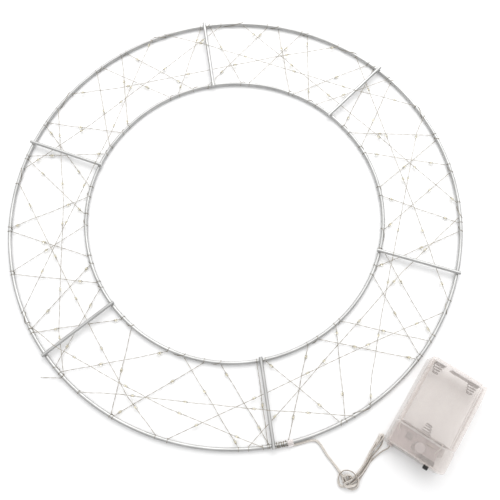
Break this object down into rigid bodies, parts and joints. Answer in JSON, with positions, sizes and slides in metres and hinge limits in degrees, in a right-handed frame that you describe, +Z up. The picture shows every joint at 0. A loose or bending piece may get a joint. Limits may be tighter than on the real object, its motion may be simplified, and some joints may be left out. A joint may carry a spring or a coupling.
{
  "type": "lit wreath frame",
  "caption": "Flat double-ring wire wreath frame with spokes, laced with a fine string of small LEDs, with its lead and a flat battery box with a slide-off cover and a slide switch.",
  "frame": {"origin": "middle of the two rings, on the plane that the frame lies on", "axes": "+Z up off that plane, square to the rings; +Y towards the top of the wreath and +X to its right, seen from above"},
  "size_m": [0.4062, 0.423, 0.0193],
  "materials": {
    "ring_wire": "bright drawn wire, thinly galvanised",
    "string_wire": "bright bare wire",
    "led_resin": "cured drop of resin over an unlit LED",
    "clear_sleeve": "clear shrink sleeve",
    "lead": "translucent flexible plastic",
    "box_plastic": "frosted translucent plastic",
    "screw": "plated",
    "contact": "nickel-plated sheet",
    "spring": "nickel-plated wire",
    "board": "paper laminate with lacquer",
    "chip": "moulded epoxy",
    "resistor": "lacquered",
    "switch_housing": "folded sheet",
    "black_plastic": "fine moulded texture",
    "bush": "soft translucent plastic",
    "battery_wire": "insulated wire",
    "core": "insulated cores"
  },
  "bodies": {
    "frame": {"outer_ring": "ring_wire", "inner_ring": "ring_wire", "spoke_1": "ring_wire", "spoke_2": "ring_wire", "spoke_3": "ring_wire", "spoke_4": "ring_wire", "spoke_5": "ring_wire", "spoke_6": "ring_wire", "string_lap_1": "string_wire", "string_lap_2": "string_wire", "string_chords_low": "string_wire", "string_chords_mid": "string_wire", "string_chords_top": "string_wire", "leds_lap_1": "led_resin", "leds_lap_2": "led_resin", "leds_chords_low": "led_resin", "leds_chords_mid": "led_resin", "leds_chords_top": "led_resin", "start_winding": "string_wire", "joint_sleeve": "clear_sleeve", "lead_run": "lead", "lead_knot": "lead", "lead_hank": "lead", "lead_tail": "lead", "box_base": "box_plastic", "controller_lid": "box_plastic", "lid_screw": "screw", "contact_negative": "contact", "contact_link_top": "contact", "contact_link_bottom": "contact", "contact_positive": "contact", "spring_left": "spring", "spring_middle": "spring", "spring_right": "spring", "circuit_board": "board", "driver_chip": "chip", "board_resistor": "resistor", "switch_housing": "switch_housing", "cable_bush": "bush", "battery_wires": "battery_wire", "lead_cores": "core"},
    "cover": {"box_cover": "box_plastic"},
    "knob": {"switch_knob": "black_plastic"}
  },
  "joints": [
    {"name": "cover_slide", "type": "slide", "parent": "frame", "child": "cover", "axis": [0.4894, 0.8721, 0], "range_m": [0, 0.062]},
    {"name": "switch_slide", "type": "slide", "parent": "frame", "child": "knob", "axis": [-0.8721, 0.4894, 0], "range_m": [0, 0.0034]}
  ]
}
